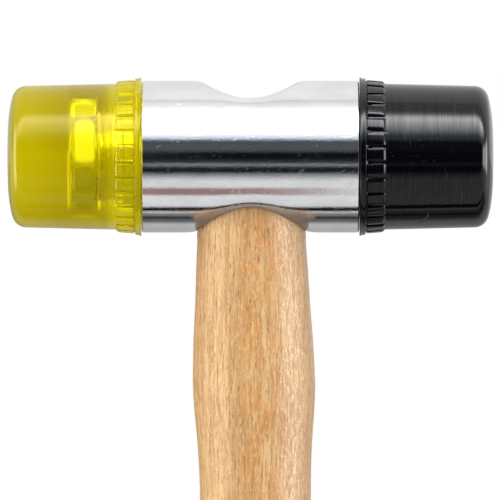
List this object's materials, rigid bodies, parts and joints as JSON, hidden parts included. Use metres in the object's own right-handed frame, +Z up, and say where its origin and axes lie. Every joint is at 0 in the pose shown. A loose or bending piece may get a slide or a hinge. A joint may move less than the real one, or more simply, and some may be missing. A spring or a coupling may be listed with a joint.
{
  "type": "dead blow mallet",
  "caption": "Double-faced mallet: plated steel tube head with loose steel shot inside, a clear yellow and a glossy black screw-on face, and a turned wooden handle wedged in its eye.",
  "frame": {"origin": "centre of the flat end of the handle's butt", "axes": "+Z runs up the handle to the head, +X runs along the head from the yellow face to the black face, +Y points to the back"},
  "size_m": [0.1164, 0.0382, 0.304],
  "materials": {
    "chrome_plating": "bright plated, finely scratched",
    "plain_steel": "plain",
    "stud_steel": "zinc bright, thread cut",
    "wedge_steel": "sheared, dull",
    "shot_steel": "tumbled",
    "yellow_plastic": "translucent, polished",
    "black_plastic": "glossy, finely turned",
    "handle_wood": "lacquered",
    "wedge_wood": "raw",
    "washer_fibre": "vulcanised fibre"
  },
  "bodies": {
    "head": {"head_tube": "chrome_plating", "eye_sleeve": "plain_steel", "left_threaded_plug": "stud_steel", "right_threaded_plug": "stud_steel", "handle": "handle_wood", "handle_wedge": "wedge_wood", "cross_wedge": "wedge_steel"},
    "left_shot_charge": {"left_shot_01": "shot_steel", "left_shot_02": "shot_steel", "left_shot_03": "shot_steel", "left_shot_04": "shot_steel", "left_shot_05": "shot_steel", "left_shot_06": "shot_steel", "left_shot_07": "shot_steel", "left_shot_08": "shot_steel", "left_shot_09": "shot_steel", "left_shot_10": "shot_steel", "left_shot_11": "shot_steel", "left_shot_12": "shot_steel"},
    "right_shot_charge": {"right_shot_01": "shot_steel", "right_shot_02": "shot_steel", "right_shot_03": "shot_steel", "right_shot_04": "shot_steel", "right_shot_05": "shot_steel", "right_shot_06": "shot_steel", "right_shot_07": "shot_steel", "right_shot_08": "shot_steel", "right_shot_09": "shot_steel", "right_shot_10": "shot_steel", "right_shot_11": "shot_steel", "right_shot_12": "shot_steel"},
    "left_washer": {"left_face_washer": "washer_fibre"},
    "right_washer": {"right_face_washer": "washer_fibre"},
    "yellow_face": {"yellow_face": "yellow_plastic"},
    "black_face": {"black_face": "black_plastic"}
  },
  "joints": [
    {"name": "yellow_face_travel", "type": "slide", "parent": "head", "child": "left_washer", "axis": [-1, 0, 0], "range_m": [0, 0.0057]},
    {"name": "yellow_face_unscrew", "type": "hinge", "parent": "left_washer", "child": "yellow_face", "pos_m": [-0.026, 0, 0.285], "axis": [-1, 0, 0], "range_deg": [0, 1350]},
    {"name": "black_face_travel", "type": "slide", "parent": "head", "child": "right_washer", "axis": [1, 0, 0], "range_m": [0, 0.0057]},
    {"name": "black_face_unscrew", "type": "hinge", "parent": "right_washer", "child": "black_face", "pos_m": [0.026, 0, 0.285], "axis": [1, 0, 0], "range_deg": [0, 1350]},
    {"name": "left_shot_slide", "type": "slide", "parent": "head", "child": "left_shot_charge", "axis": [1, 0, 0], "range_m": [-0.0008, 0.0008]},
    {"name": "right_shot_slide", "type": "slide", "parent": "head", "child": "right_shot_charge", "axis": [1, 0, 0], "range_m": [-0.0008, 0.0008]}
  ],
  "couplings": [
    {"joint": "yellow_face_travel", "follows": "yellow_face_unscrew", "m_per_rad": 0.00023873},
    {"joint": "black_face_travel", "follows": "black_face_unscrew", "m_per_rad": 0.00023873}
  ]
}
